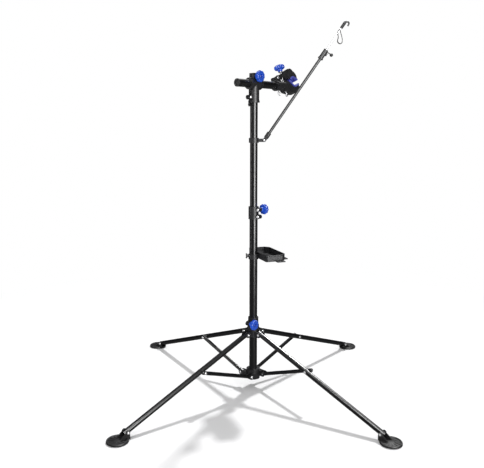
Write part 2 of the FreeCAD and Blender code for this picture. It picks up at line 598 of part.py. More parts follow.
def build_rod():
    z = ROD_COLLAR_HEIGHT
    ring = Part.makeCylinder(21.0, 20, vec(0, 0, z - 10))
    tongue = slab([(12, z - 7), (12, z + 7), (ROD_PIVOT_X, z + 7),
                   (ROD_PIVOT_X, z - 7, ROD_PIVOT_X + 7, z)], -5, 5)
    collar = join([ring, tongue])
    collar = collar.cut(Part.makeCylinder(UPPER_TUBE_R + 0.1, 60, vec(0, 0, z - 30)))
    collar = collar.cut(rod(2.5 + BOLT_GAP, vec(ROD_PIVOT_X, -20, z), vec(ROD_PIVOT_X, 20, z)))
    save("rod_collar", collar)
    save("rod_pivot_bolt", bolt(2.5, vec(ROD_PIVOT_X, -9.6, z), vec(ROD_PIVOT_X, 9.6, z), 5.0, 3.0))

    cheeks = [slab([(-7, 0), (7, 0, 0, -7), (7, 22), (-7, 22)], y0, y1)
              for y0, y1 in ((-9.5, -5.3), (5.3, 9.5))]
    barrel = Part.makeCylinder(9.5, 26, vec(0, 0, 12))
    socket = join(cheeks + [barrel])
    socket = socket.cut(Part.makeCylinder(ROD_OUTER_R + 0.03, 40, vec(0, 0, 16)))
    socket = socket.cut(rod(2.5 + BOLT_GAP, vec(0, -20, 0), vec(0, 20, 0)))
    save("rod_socket", on_rod(socket))

    outer = pipe(ROD_OUTER_R, 1.0, vec(0, 0, 16), vec(0, 0, ROD_OUTER_END))
    sleeve_low, sleeve_high = ROD_OUTER_END - 34, ROD_OUTER_END + 10
    sleeve = join([Part.makeCylinder(9.5, sleeve_high - sleeve_low, vec(0, 0, sleeve_low)),
                   Part.makeCylinder(11.0, 6, vec(0, 0, sleeve_low)),
                   rod(6.5, vec(0, 0, sleeve_high - 16), vec(14, 0, sleeve_high - 16))])
    sleeve = sleeve.cut(Part.makeCylinder(ROD_OUTER_R + 0.03, 36.1, vec(0, 0, sleeve_low - 2)))
    sleeve = sleeve.cut(Part.makeCylinder(ROD_INNER_R + 0.1, 60, vec(0, 0, sleeve_low)))
    sleeve = sleeve.cut(rod(2.1, vec(0, 0, sleeve_high - 5), vec(20, 0, sleeve_high - 5)))
    save("rod_outer_tube", on_rod(outer))
    save("rod_lock_sleeve", on_rod(sleeve))
    screw = join([Part.makeCylinder(2.0, 22), Part.makeSphere(7.0, vec(0, 0, 26))])
    screw = stand_on(screw, vec(ROD_INNER_R + 0.3, 0, sleeve_high - 5), vec(1, 0, 0))
    save("rod_thumbscrew", on_rod(screw))

    inner = Part.makeCylinder(ROD_INNER_R, ROD_INNER_END - 300, vec(0, 0, 300))
    save("rod_inner", on_rod(inner))


HOOK_END = ROD_INNER_END + 12.0


def build_hook_and_strap():
    """The plastic hook on the inner rod's end, and the strap loop that hangs from it."""
    barrel = Part.makeCylinder(6.5, 26, vec(0, 0, ROD_INNER_END - 18))
    lip = join([rod(3.5, vec(0, 0, HOOK_END - 2), vec(13, 0, HOOK_END + 3)),
                rod(3.5, vec(13, 0, HOOK_END + 3), vec(17, 0, HOOK_END - 9)),
                Part.makeSphere(3.5, vec(13, 0, HOOK_END + 3)),
                Part.makeSphere(3.5, vec(17, 0, HOOK_END - 9)),
                Part.makeSphere(6.5, vec(0, 0, HOOK_END - 4))])
    hook = join([barrel, lip])
    hook = hook.cut(Part.makeCylinder(ROD_INNER_R + 0.02, 18.1, vec(0, 0, ROD_INNER_END - 18.05)))
    save("rod_hook", on_rod(hook))

    tilt = math.radians(ROD_TILT)
    along = ROD_INNER_END - 32.0
    x = ROD_PIVOT_X + along * math.sin(tilt)
    z = ROD_COLLAR_HEIGHT + along * math.cos(tilt)
    reach, drop, band = 16.0, 52.0, 1.6
    outer = slab([(x - 5, z + 4), (x + 5, z + 4, x, z + 8), (x + reach, z - drop + 14),
                  (x - reach + 8, z - drop + 14, x + 4, z - drop)], -6, 6)
    inner = slab([(x - 5 + band, z + 3), (x + 5 - band, z + 3, x, z + 8 - band),
                  (x + reach - band, z - drop + 14),
                  (x - reach + 8 + band, z - drop + 14, x + 4, z - drop + band)], -7, 7)
    strap = outer.cut(inner).cut(on_rod(Part.makeCylinder(ROD_INNER_R + 0.1, 60, vec(0, 0, along - 30))))
    save("rod_strap", strap)


# ---- tray -----------------------------------------------------------------------------------------
def tray_prism(inset, z0, z1):
    """The tray's plan, moved in by inset on every side, from z0 to z1."""
    x0, x1 = TRAY_NEAR + inset, TRAY_FAR - inset
    y = TRAY_HALF_LENGTH - inset
    near, far = [chamfer - inset * (2 - math.sqrt(2)) for chamfer in (TRAY_NEAR_CHAMFER, TRAY_CHAMFER)]
    points = [(x0 + near, -y), (x1 - far, -y), (x1, -y + far), (x1, y - far), (x1 - far, y),
              (x0 + near, y), (x0, y - near), (x0, -y + near), (x0 + near, -y)]
    wire = Part.makePolygon([vec(px, py, z0) for px, py in points])
    return Part.Face(wire).extrude(vec(0, 0, z1 - z0))


TRAY_SHELF_WIDTH = 24.0
TRAY_RING_R = 22.0
TRAY_RING_HEIGHT = 19.0
BUSH_R = 19.3
BUSH_FLANGE = 2.7
TRAY_SCREW_HEIGHT = TRAY_FLOOR + 13.0
TRAY_BOSS_END = 25.5


def build_tray():
    """The tray with its ring around the post, the bush that it turns on, and its thumb screw."""
    half = TRAY_HALF_LENGTH
    shell = tray_prism(0, TRAY_FLOOR, TRAY_RIM)
    hollow = tray_prism(TRAY_WALL, TRAY_FLOOR + TRAY_WALL, TRAY_RIM + 1)
    shelf = block(TRAY_NEAR, TRAY_NEAR + TRAY_SHELF_WIDTH, -half, half, TRAY_RIM - 6, TRAY_RIM - 3)
    shelf = shelf.common(shell)
    ring = Part.makeCylinder(TRAY_RING_R, TRAY_RING_HEIGHT, vec(0, 0, TRAY_FLOOR))
    boss = rod(6.0, vec(-TRAY_BOSS_END, 0, TRAY_SCREW_HEIGHT), vec(-10, 0, TRAY_SCREW_HEIGHT))
    end_tab = block(60, 96, -half - 24, -half + 1, TRAY_FLOOR, TRAY_FLOOR + 4)
    side_tab = block(TRAY_FAR - 1, TRAY_FAR + 18, -half + 24, half - 24, TRAY_FLOOR, TRAY_FLOOR + 4)
    tray = join([shell.cut(hollow), shelf, ring, boss, end_tab, side_tab])
    tray = tray.cut(Part.makeCylinder(BUSH_R + RUN, 80, vec(0, 0, TRAY_FLOOR - 20)))
    tray = tray.cut(rod(3.1, vec(-50, 0, TRAY_SCREW_HEIGHT), vec(-10, 0, TRAY_SCREW_HEIGHT)))
    for y in (-66, -42, 42, 66):
        hole = Part.makeCylinder(7.5, 10, vec(TRAY_NEAR + TRAY_SHELF_WIDTH / 2 + 1, y, TRAY_RIM - 10))
        tray = tray.cut(hole)
    for y in range(-60, 61, 24):
        tray = tray.cut(Part.makeCylinder(4.5, 10, vec(TRAY_FAR + 9, y, TRAY_FLOOR - 2)))
    for x in (70, 86):
        tray = tray.cut(Part.makeCylinder(5, 10, vec(x, -half - 12, TRAY_FLOOR - 2)))
    save("tray", turned(tray, TRAY_YAW))

    bottom = vec(0, 0, TRAY_FLOOR - BUSH_FLANGE)
    bush = join([Part.makeCylinder(BUSH_R, TRAY_RING_HEIGHT + BUSH_FLANGE, bottom),
                 Part.makeCylinder(TRAY_RING_R - 0.5, BUSH_FLANGE - 0.1, bottom)])
    save("tray_bush", bush.cut(Part.makeCylinder(LOWER_TUBE_R + RUN, 60, vec(0, 0, TRAY_FLOOR - 20))))

    screw = join([Part.makeCylinder(3.0, 12), wing_knob(13.0, 17.5, 6.5)])
    screw = stand_on(screw, vec(-BUSH_R - 0.2, 0, TRAY_SCREW_HEIGHT), vec(-1, 0, 0))
    save("tray_thumbscrew", turned(screw, TRAY_YAW))


os.makedirs("parts", exist_ok=True)
build_lower_tube(build_base_hub())
build_legs()
build_foot_pads()
build_upper_hub()
build_collar()
build_upper_tube()
build_neck_screw()
build_head()
build_arm()
build_pads()
build_lower_jaw()
build_upper_jaw()
build_clamp_screw()
build_lock_pin()
build_rod()
build_hook_and_strap()
build_tray()
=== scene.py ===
"""The looks of the folding bike repair stand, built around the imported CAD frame. Metres, +Z up."""

import bpy
import bmesh
import json
import math
from mathutils import Matrix, Vector

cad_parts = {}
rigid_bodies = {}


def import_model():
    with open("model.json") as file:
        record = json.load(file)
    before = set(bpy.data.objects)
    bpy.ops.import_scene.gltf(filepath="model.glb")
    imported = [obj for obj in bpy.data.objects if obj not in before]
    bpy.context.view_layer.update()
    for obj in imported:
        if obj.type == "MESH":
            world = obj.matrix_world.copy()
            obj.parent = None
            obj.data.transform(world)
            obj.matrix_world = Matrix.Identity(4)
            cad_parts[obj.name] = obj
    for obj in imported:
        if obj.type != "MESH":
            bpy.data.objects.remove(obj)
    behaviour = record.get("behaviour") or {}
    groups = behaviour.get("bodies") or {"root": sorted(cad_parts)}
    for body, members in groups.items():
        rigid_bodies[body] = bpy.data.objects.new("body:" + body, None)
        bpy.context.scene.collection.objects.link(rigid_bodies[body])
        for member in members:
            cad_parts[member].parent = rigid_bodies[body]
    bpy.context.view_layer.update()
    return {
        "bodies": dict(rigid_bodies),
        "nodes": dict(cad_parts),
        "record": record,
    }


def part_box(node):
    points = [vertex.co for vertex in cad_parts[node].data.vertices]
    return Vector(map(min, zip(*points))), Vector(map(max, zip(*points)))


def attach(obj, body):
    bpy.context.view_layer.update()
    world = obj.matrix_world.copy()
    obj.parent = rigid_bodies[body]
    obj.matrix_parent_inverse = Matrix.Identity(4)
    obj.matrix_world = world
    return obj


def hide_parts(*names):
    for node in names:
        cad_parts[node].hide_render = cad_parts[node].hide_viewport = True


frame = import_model()

NODES = frame["nodes"]
JOINTS = {joint["name"]: joint for joint in frame["record"]["behaviour"]["joints"]}
LEGS = range(1, 5)
MM = 0.001
TURN = 2 * math.pi
UP = Vector((0, 0, 1))


# ---- where the frame says things are --------------------------------------------------------------
def joint_line(name):
    """A joint's point and unit axis at rest."""
    joint = JOINTS[name]
    return Vector(joint.get("pos_m", (0, 0, 0))), Vector(joint["axis"]).normalized()


def hub_pivot(leg):
    """The line about which a leg turns on the upper hub."""
    return joint_line("hub_on_leg_1" if leg == 1 else f"leg_{leg}_pivot")


def strut_pivot(leg):
    """The line about which a leg's strut turns on the base hub."""
    return joint_line("fold" if leg == 1 else f"strut_{leg}_pivot")


def distances(node, origin, axis):
    """Each vertex of the node as (how far along a line from origin, how far away from it)."""
    for vertex in NODES[node].data.vertices:
        offset = vertex.co - origin
        along = offset.dot(axis)
        yield along, (offset - along * axis).length


def span(node, origin, axis, reach=math.inf, beyond=0.0):
    """Where the node starts and ends along a line, measured from origin. Counts the vertices that are
    at least beyond and at most reach away from the line."""
    values = [along for along, away in distances(node, origin, axis) if beyond <= away <= reach]
    return min(values), max(values)


def box_centre(node):
    """The middle of the node's box."""
    lowest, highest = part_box(node)
    return (lowest + highest) / 2


def facing(axis):
    """The rotation that turns +Z to axis."""
    return UP.rotation_difference(axis).to_matrix().to_4x4()


def stand_on(origin, axis, start=0.0):
    """Local coordinates with +Z along a line, from the point at start on it, to the stand's."""
    return Matrix.Translation(origin + axis * start) @ facing(axis)


def basis(origin, x_axis, z_axis):
    """Local coordinates with these X and Z axes, to the stand's."""
    y_axis = z_axis.cross(x_axis)
    turn = Matrix((x_axis, y_axis, z_axis)).transposed().to_4x4()
    return Matrix.Translation(origin) @ turn


# ---- materials ------------------------------------------------------------------------------------
NOISE_ROUGHNESS = 0.55
BUMP_DEPTH = 0.3 * MM
ROUGH_SCALE = 2.3            # how much finer the roughness varies than the colour
WORN_EDGE = (0.53, 0.62)     # pointiness where wear starts, and where it is full
WORN_PATCH = (0.42, 0.7)     # noise that breaks the wear up into patches
WORN_PATCH_SCALE = 90


def material(name, color, roughness, metallic=0.0, coat=0.0, coat_roughness=0.1, variation=0.12,
             variation_scale=30.0, bump=0.1, bump_scale=1500.0, rough_variation=0.1, wear=0.0,
             wear_color=None, sheen=0.0, waves=None):
    """A procedural finish: colour and roughness that vary with noise, a fine bump, worn edges. waves
    is the scale and the distortion of a weave, which takes the place of the fine bump."""
    mat = bpy.data.materials.new(name)
    mat.use_nodes = True
    nodes, links = mat.node_tree.nodes, mat.node_tree.links
    shader = nodes["Principled BSDF"]
    coords = nodes.new("ShaderNodeTexCoord").outputs["Object"]

    def noise(scale, detail=4.0):
        """Noise between 0 and 1, with about this many features in a metre."""
        node = nodes.new("ShaderNodeTexNoise")
        node.inputs["Scale"].default_value = scale
        node.inputs["Detail"].default_value = detail
        node.inputs["Roughness"].default_value = NOISE_ROUGHNESS
        links.new(coords, node.inputs["Vector"])
        return node.outputs["Fac"]

    def remap(value, low, high, from_low=0.3, from_high=0.7):
        """The value, stretched from its own range to low and high."""
        node = nodes.new("ShaderNodeMapRange")
        node.inputs["From Min"].default_value = from_low
        node.inputs["From Max"].default_value = from_high
        node.inputs["To Min"].default_value = low
        node.inputs["To Max"].default_value = high
        links.new(value, node.inputs["Value"])
        return node.outputs["Result"]

    def mix(factor, first, second):
        """One colour or socket where factor is 0, and another where it is 1."""
        node = nodes.new("ShaderNodeMix")
        node.data_type = "RGBA"
        links.new(factor, node.inputs["Factor"])
        for letter, value in (("A", first), ("B", second)):
            target = next(s for s in node.inputs if s.name == letter and s.type == "RGBA")
            if isinstance(value, tuple):
                target.default_value = (*value, 1)
            else:
                links.new(value, target)
        return next(s for s in node.outputs if s.type == "RGBA")

    dark = tuple(c * (1 - variation) for c in color)
    light = tuple(min(1, c * (1 + variation)) for c in color)
    base = mix(remap(noise(variation_scale), 0, 1), dark, light)
    rough = remap(noise(variation_scale * ROUGH_SCALE, 5), roughness * (1 - rough_variation),
                  roughness * (1 + rough_variation))
    if wear:
        geometry = nodes.new("ShaderNodeNewGeometry")
        edge = remap(geometry.outputs["Pointiness"], 0, 1, *WORN_EDGE)
        patch = remap(noise(WORN_PATCH_SCALE, 6), 0, wear, *WORN_PATCH)
        both = nodes.new("ShaderNodeMath")
        both.operation = "MULTIPLY"
        links.new(edge, both.inputs[0])
        links.new(patch, both.inputs[1])
        base = mix(both.outputs[0], base, wear_color)
    links.new(base, shader.inputs["Base Color"])
    links.new(rough, shader.inputs["Roughness"])
    shader.inputs["Metallic"].default_value = metallic
    shader.inputs["Coat Weight"].default_value = coat
    shader.inputs["Coat Roughness"].default_value = coat_roughness
    shader.inputs["Sheen Weight"].default_value = sheen
    if waves:
        wave = nodes.new("ShaderNodeTexWave")
        wave.inputs["Scale"].default_value, wave.inputs["Distortion"].default_value = waves
        links.new(coords, wave.inputs["Vector"])
        height = wave.outputs["Fac"]
    else:
        height = noise(bump_scale, 3.0)
    relief = nodes.new("ShaderNodeBump")
    relief.inputs["Strength"].default_value = bump
    relief.inputs["Distance"].default_value = BUMP_DEPTH
    links.new(height, relief.inputs["Height"])
    links.new(relief.outputs["Normal"], shader.inputs["Normal"])
    return mat


FINISHES = {
    "tube_black": material("gloss_black_paint", (0.004, 0.004, 0.005), 0.31, coat=0.5,
                           coat_roughness=0.17, bump=0.012, bump_scale=700, variation=0.3,
                           variation_scale=12, rough_variation=0.05),
    "plastic_grey": material("dark_grey_nylon", (0.019, 0.019, 0.021), 0.40, bump=0.22,
                             bump_scale=2200, variation=0.10, variation_scale=160, wear=0.12,
                             wear_color=(0.08, 0.08, 0.085)),
    "plastic_black": material("black_plastic", (0.012, 0.012, 0.013), 0.36, bump=0.15,
                              bump_scale=2000, wear=0.12, wear_color=(0.07, 0.07, 0.075)),
    "foot_rubber": material("foot_plastic", (0.014, 0.014, 0.015), 0.46, bump=0.25, bump_scale=1300,
                            variation=0.15, variation_scale=120, wear=0.15,
                            wear_color=(0.08, 0.08, 0.08)),
    "knob_blue": material("blue_knob_plastic", (0.011, 0.092, 0.66), 0.30, coat=0.3,
                          coat_roughness=0.2, bump=0.12, bump_scale=1600, variation=0.10,
                          variation_scale=50, wear=0.2, wear_color=(0.10, 0.24, 0.80)),
    "pad_navy": material("blue_jaw_rubber", (0.030, 0.044, 0.46), 0.55, bump=0.4, bump_scale=1100,
                         variation=0.18, variation_scale=60, wear=0.3,
                         wear_color=(0.10, 0.12, 0.55), sheen=0.2),
    "chrome": material("bright_plated_steel", (0.88, 0.88, 0.89), 0.22, metallic=0.55,
                       bump=0.04, bump_scale=500, variation=0.05, rough_variation=0.35),
    "steel": material("zinc_plated_steel", (0.60, 0.60, 0.62), 0.30, metallic=0.8, bump=0.12,
                      bump_scale=400, variation=0.10, rough_variation=0.3),
    "stitch_grey": material("grey_thread", (0.10, 0.10, 0.11), 0.8, bump=0.3, bump_scale=4000),
    "strap_black": material("black_webbing", (0.013, 0.013, 0.014), 0.85, bump=0.8,
                            waves=(260.0, 0.4), variation=0.3, variation_scale=300, sheen=0.5),
}
SLOT_OF = {entry["node"]: entry["material_slot"] for entry in frame["record"]["subparts"]}


def paint(obj, slot):
    """Gives an object one of the finishes."""
    obj.data.materials.clear()
    obj.data.materials.append(FINISHES[slot])


def soften(obj, width):
    """Rounded edges, width in millimetres, wherever faces meet at an angle."""
    bevel = obj.modifiers.new("soft_edges", "BEVEL")
    bevel.width = width * MM
    bevel.segments = 2
    bevel.limit_method = "ANGLE"
    bevel.angle_limit = math.radians(35)
    bevel.harden_normals = False
    bevel.use_clamp_overlap = True


# ---- mesh building --------------------------------------------------------------------------------
def piece(name, mesh, slot, body, *replaced, smooth_angle=35, finish=None):
    """A finished mesh as a named piece on a body, standing for these CAD nodes."""
    bmesh.ops.recalc_face_normals(mesh, faces=mesh.faces)
    data = bpy.data.meshes.new(name)
    mesh.to_mesh(data)
    mesh.free()
    data.shade_smooth()
    data.set_sharp_from_angle(angle=math.radians(smooth_angle))
    obj = bpy.data.objects.new(name, data)
    bpy.context.scene.collection.objects.link(obj)
    paint(obj, finish or slot)
    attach(obj, body)
    if replaced:
        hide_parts(*replaced)


def join_rows(mesh, rows):
    """Faces between neighbouring rows of vertices. A row of one vertex is a pole."""
    for low, high in zip(rows, rows[1:]):
        count = max(len(low), len(high))
        for i in range(count):
            j = (i + 1) % count
            if len(low) == 1:
                mesh.faces.new((low[0], high[i], high[j]))
            elif len(high) == 1:
                mesh.faces.new((low[i], high[0], low[j]))
            else:
                mesh.faces.new((low[i], high[i], high[j], low[j]))


def join_solid(mesh, rows):
    """As join_rows(), with a flat face over each end."""
    join_rows(mesh, rows)
    mesh.faces.new(rows[0])
    mesh.faces.new(rows[-1])


def turned_row(mesh, place, radius, z, segments, shape=None):
    """Adds one row of vertices around local Z. shape(angle) is a factor on the radius."""
    row = []
    for i in range(segments):
        angle = TURN * i / segments
        r = radius * (shape(angle) if shape else 1)
        row.append(mesh.verts.new(place @ Vector((r * math.cos(angle), r * math.sin(angle), z))))
    return row


def lathe(mesh, rings, place, segments=36):
    """Adds a closed turned solid. Each ring is (radius, z), or (radius, z, shape) with shape as in
    turned_row(). Rings that start and end at radius 0 make a solid piece, and others one with a bore."""
    rows = []
    for radius, z, *shape in rings:
        if radius == 0:
            rows.append([mesh.verts.new(place @ Vector((0, 0, z)))])
        else:
            rows.append(turned_row(mesh, place, radius, z, segments, *shape))
    if len(rows[0]) > 1:
        rows.append(rows[0])
    join_rows(mesh, rows)


def moved(rings, start):
    """The rings, from start up."""
    return [(radius, start + z, *shape) for radius, z, *shape in rings]


def turned_over(rings, start):
    """The rings in the other direction, from start down."""
    return [(radius, start - z, *shape) for radius, z, *shape in reversed(rings)]


def hexagon(angle):
    """Ring shape: a hexagon whose flats stand at 1."""
    return 1 / math.cos((angle + math.pi / 6) % (math.pi / 3) - math.pi / 6)


def chamfered_disc(mesh, place, radius, height, chamfer, segments=36, bore=0):
    """Adds a round piece with chamfered edges, solid or with a bore of that radius."""
    lathe(mesh, [(bore, 0), (radius - chamfer, 0), (radius, chamfer), (radius, height - chamfer),
                 (radius - chamfer, height), (bore, height)], place, segments)


def circle(radius, count):
    """A round profile."""
    return [(radius * math.cos(TURN * i / count), radius * math.sin(TURN * i / count))
            for i in range(count)]


def sweep(mesh, path, profile, across, closed=False, scale=None):
    """Sweeps a closed profile along a path. A profile point is (side, out): side along the fixed
    direction across, out along the path's own normal. scale(t) may thin it along the way."""
    count = len(path)
    rows = []
    for k, point in enumerate(path):
        before = path[(k - 1) % count] if closed or k > 0 else point
        after = path[(k + 1) % count] if closed or k < count - 1 else point
        out = across.cross((after - before).normalized())
        size = scale(k / (count - 1)) if scale else 1
        rows.append([mesh.verts.new(point + across * (side * size) + out * (height * size))
                     for side, height in profile])
    if closed:
        join_rows(mesh, rows + rows[:1])
    else:
        join_solid(mesh, rows)


def smooth_curve(points, count):
    """A smooth curve through all of these points, with count steps from each to the next."""
    padded = [2 * points[0] - points[1]] + points + [2 * points[-1] - points[-2]]
    result = []
    for k in range(len(points) - 1):
        a, b, c, d = padded[k:k + 4]
        for i in range(count):
            t = i / count
            result.append(0.5 * (2 * b + (c - a) * t + (2 * a - 5 * b + 4 * c - d) * t * t
                                 + (3 * b - a - 3 * c + d) * t ** 3))
    return result + [points[-1]]


# ---- star knobs -----------------------------------------------------------------------------------
KNOB_LOBES = 10
LOBE_DEPTH = 0.13            # the next four are shares of the knob's radius
KNOB_STEM = 0.44
KNOB_BORE = 0.18
KNOB_RIM = 0.90              # only the lobed rim stands further out than this
KNOB_RECESS = 7.5 * MM       # depth of the hole that shows the bolt's end
LOBE_FULLNESS = 0.6          # below 1 the lobes are wider than the valleys


def lobed(weight):
    """Ring shape of a knob's edge. weight 1 is the full depth of its valleys, and 0 a circle."""
    def shape(angle):
        wave = (0.5 + 0.5 * math.cos(KNOB_LOBES * angle)) ** LOBE_FULLNESS
        return 1 - weight * LOBE_DEPTH * (1 - wave)
    return shape


def star_knob(name, body):
    """A lobed hand knob with a dished face and a recess. Its node has the name of its body."""
    origin, axis = joint_line(f"{body}_turn")
    low, high = span(body, origin, axis)
    radius = max(away for _, away in distances(body, origin, axis))
    rim_low, _ = span(body, origin, axis, beyond=KNOB_RIM * radius)
    neck = rim_low - low
    top = high - low
    stem, bore = KNOB_STEM * radius, KNOB_BORE * radius
    rings = [(bore, 0), (0.92 * stem, 0), (stem, 0.8 * MM), (stem, 0.6 * neck), (1.06 * stem, neck),
             (0.60 * radius, neck + 0.2 * MM), (0.84 * radius, neck + 0.8 * MM, lobed(0.5)),
             (0.94 * radius, neck + 2.2 * MM, lobed(0.9)), (0.99 * radius, neck + 4.8 * MM, lobed(1)),
             (radius, (neck + top) / 2, lobed(1)), (0.985 * radius, top - 4.5 * MM, lobed(1)),
             (0.95 * radius, top - 2.2 * MM, lobed(0.9)), (0.88 * radius, top - 0.7 * MM, lobed(0.7)),
             (0.78 * radius, top, lobed(0.35)), (0.60 * radius, top - 0.8 * MM),
             (0.46 * radius, top - 0.2 * MM), (0.40 * radius, top), (0.35 * radius, top - 0.8 * MM),
             (0.33 * radius, top - KNOB_RECESS), (bore, top - KNOB_RECESS)]
    mesh = bmesh.new()
    lathe(mesh, rings, stand_on(origin, axis, low), segments=120)
    piece(name, mesh, "knob_blue", body, body, smooth_angle=50)


# ---- clamp screw ----------------------------------------------------------------------------------
THREAD_R = 4 * MM
THREAD_PITCH = 2.5 * MM
THREAD_DEPTH = 0.8 * MM
THREAD_PLAIN = 24 * MM       # length without a thread, under the knob
THREAD_SEGMENTS = 32
ROWS_PER_PITCH = 6
SCREW_FOOT_R = 5 * MM
SCREW_FOOT_LENGTH = 7 * MM
SCREW_FOOT_LAP = 1 * MM      # length of the bar inside the foot
WASHER_R = 9 * MM


def thread(mesh, place, length):
    """Adds a threaded bar that stands on place, tapered at both ends."""
    count = int(length / (THREAD_PITCH / ROWS_PER_PITCH))
    rows = []
    for k in range(count + 1):
        z = length * k / count

        def shape(angle):
            if k in (0, count):
                depth = THREAD_DEPTH
            elif length - z < THREAD_PLAIN:
                depth = 0
            else:
                phase = (z / THREAD_PITCH - angle / TURN) % 1
                depth = THREAD_DEPTH * (1 - abs(2 * phase - 1))
            return 1 - depth / THREAD_R

        rows.append(turned_row(mesh, place, THREAD_R, z, THREAD_SEGMENTS, shape))
    join_solid(mesh, rows)


def build_clamp_screw():
    """The clamp's threaded bar, with a round foot and with a washer under the knob."""
    origin, axis = joint_line("clamp_knob_turn")
    low, high = span("clamp_screw", origin, axis)
    washer_low, washer_high = span("clamp_screw", origin, axis, beyond=0.95 * WASHER_R)
    bar_low = low + SCREW_FOOT_LENGTH - SCREW_FOOT_LAP
    mesh = bmesh.new()
    thread(mesh, stand_on(origin, axis, bar_low), high - bar_low)
    chamfered_disc(mesh, stand_on(origin, axis, low), SCREW_FOOT_R, SCREW_FOOT_LENGTH, 0.8 * MM, 32)
    chamfered_disc(mesh, stand_on(origin, axis, washer_low), WASHER_R, washer_high - washer_low,
                   0.4 * MM, 40)
    piece("clamp_screw_threaded", mesh, "steel", "clamp_screw", "clamp_screw")


# ---- bolts ----------------------------------------------------------------------------------------
M6 = (3 * MM, 6 * MM, 3.5 * MM)        # shank radius, head radius, head height
M6_HIGH = (3 * MM, 6 * MM, 4 * MM)
M5 = (2.5 * MM, 5 * MM, 3 * MM)
M6_REACH = 6.2 * MM                    # just past an M6 head's radius
WIDE_REACH = 8 * MM                    # past the heads where no other piece of the node is near
LOW_HEAD = 0.6                         # height of a low socket head, as a share of its radius
SPACER_BORE = 3.1 * MM
SPACER_R = 6.5 * MM
SPACER_CHAMFER = 0.5 * MM


def dome_head(radius, height):
    """Rings of a button head with a hex socket, from its seat at z 0 up."""
    return [(radius, 0), (radius, 0.18 * height), (0.93 * radius, 0.5 * height),
            (0.76 * radius, 0.82 * height), (0.5 * radius, height), (0.40 * radius, height, hexagon),
            (0.37 * radius, 0.45 * height, hexagon), (0, 0.40 * height)]


def dome_nut(radius, height):
    """Rings of a hexagonal dome nut, from its seat at z 0 up."""
    flat = 0.87 * radius
    return [(flat, 0, hexagon), (flat, 0.5 * height, hexagon), (0.8 * radius, 0.62 * height),
            (0.62 * radius, 0.72 * height), (0.45 * radius, 0.92 * height), (0.2 * radius, height),
            (0, 1.02 * height)]


def bolt(mesh, origin, axis, ends, size, end=dome_nut):
    """Adds a bolt along a line between two ends, measured from origin, its head at the first one. end
    makes the rings at the second one: a nut, another head, or None for a plain end."""
    low, high = ends
    shank, head, height = size
    length = high - low
    rings = turned_over(dome_head(head, height), height) + [(shank, height)]
    if end:
        rings += [(shank, length - height)] + moved(end(head, height), length - height)
    else:
        rings += [(shank, length), (0, length)]
    lathe(mesh, rings, stand_on(origin, axis, low))


def build_leg_bolts(leg):
    """The bolts through a leg at its strut and at its foot, and the spacer between leg and strut."""
    node = f"leg_bolts_{leg}"
    foot, axis = joint_line(f"foot_pad_{leg}_swivel")
    hub, _ = hub_pivot(leg)
    first_hub, first_mid, first_foot = (
        joint_line(name)[0] for name in ("hub_on_leg_1", "leg_1_on_strut", "foot_pad_1_swivel"))
    share = (first_mid - first_hub).length / (first_foot - first_hub).length
    mid = hub + (foot - hub) * share
    mesh = bmesh.new()
    for centre in (mid, foot):
        bolt(mesh, centre, axis, span(node, centre, axis, M6_REACH), M6)
    piece(f"leg_pivot_bolts_{leg}", mesh, "chrome", f"leg_{leg}", node)

    low, high = span(node, mid, axis, SPACER_R + 0.3 * MM, SPACER_R - 0.1 * MM)
    mesh = bmesh.new()
    chamfered_disc(mesh, stand_on(mid, axis, low), SPACER_R, high - low, SPACER_CHAMFER,
                   bore=SPACER_BORE)
    piece(f"leg_pivot_spacer_{leg}", mesh, "plastic_black", f"leg_{leg}", node)


def build_hub_bolts():
    """The legs' bolts on the upper hub, and the struts' bolts on the base hub."""
    mesh = bmesh.new()
    for leg in LEGS:
        hub, axis = hub_pivot(leg)
        bolt(mesh, hub, axis, span("upper_hub_bolts", hub, axis, M6_REACH), M6)
    piece("upper_hub_pivot_bolts", mesh, "chrome", "upper_hub", "upper_hub_bolts")

    mesh = bmesh.new()
    for leg in LEGS:
        origin, axis = strut_pivot(leg)
        low, _ = span("base_hub_bolts", origin, axis, M6_REACH)
        # the next bolt's head comes close to this line, so the far end is taken from the shank
        _, high = span("base_hub_bolts", origin, axis, M6[0] + 0.1 * MM, M6[0] - 0.1 * MM)
        bolt(mesh, origin, axis, (low, high), M6, end=None)
    piece("base_hub_pivot_bolts", mesh, "chrome", "post_base", "base_hub_bolts")


def build_knob_bolt(name, node, knob, body, shank, head):
    """A star knob's bolt: a low socket head, and a shank that tapers where the knob takes it."""
    origin, axis = joint_line(f"{knob}_turn")
    low, high = span(node, origin, axis, WIDE_REACH)
    length = high - low
    height = LOW_HEAD * head
    rings = [(0, 0)] + turned_over(dome_head(head, height), height)[1:]
    rings += [(shank, height), (shank, length - 1 * MM), (0.8 * shank, length), (0, length)]
    mesh = bmesh.new()
    lathe(mesh, rings, stand_on(origin, axis, low))
    piece(name, mesh, "chrome", body, node)


def build_collar_bolts():
    """The post collar's two bolts: the knob's has a head at each end, and the lower one has a nut."""
    node = "post_collar_bolts"
    origin, axis = joint_line("post_collar_knob_turn")
    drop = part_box(node)[0].z + M6_HIGH[1] - origin.z
    mesh = bmesh.new()
    for height, end in ((0.0, dome_head), (drop, dome_nut)):
        line = origin + UP * height
        ends = [(v.co - line).dot(axis) for v in NODES[node].data.vertices
                if abs((v.co - line).z) < M6_HIGH[1] + 0.5 * MM]
        bolt(mesh, line, axis, (min(ends), max(ends)), M6_HIGH, end)
    piece("collar_clamp_bolts", mesh, "chrome", "post_base", node)


def build_through_bolt(name, node, body, origin, axis, size):
    """One bolt with a nut, through a hinge or a pair of ears."""
    mesh = bmesh.new()
    bolt(mesh, origin, axis, span(node, origin, axis, WIDE_REACH), size)
    piece(name, mesh, "chrome", body, node)


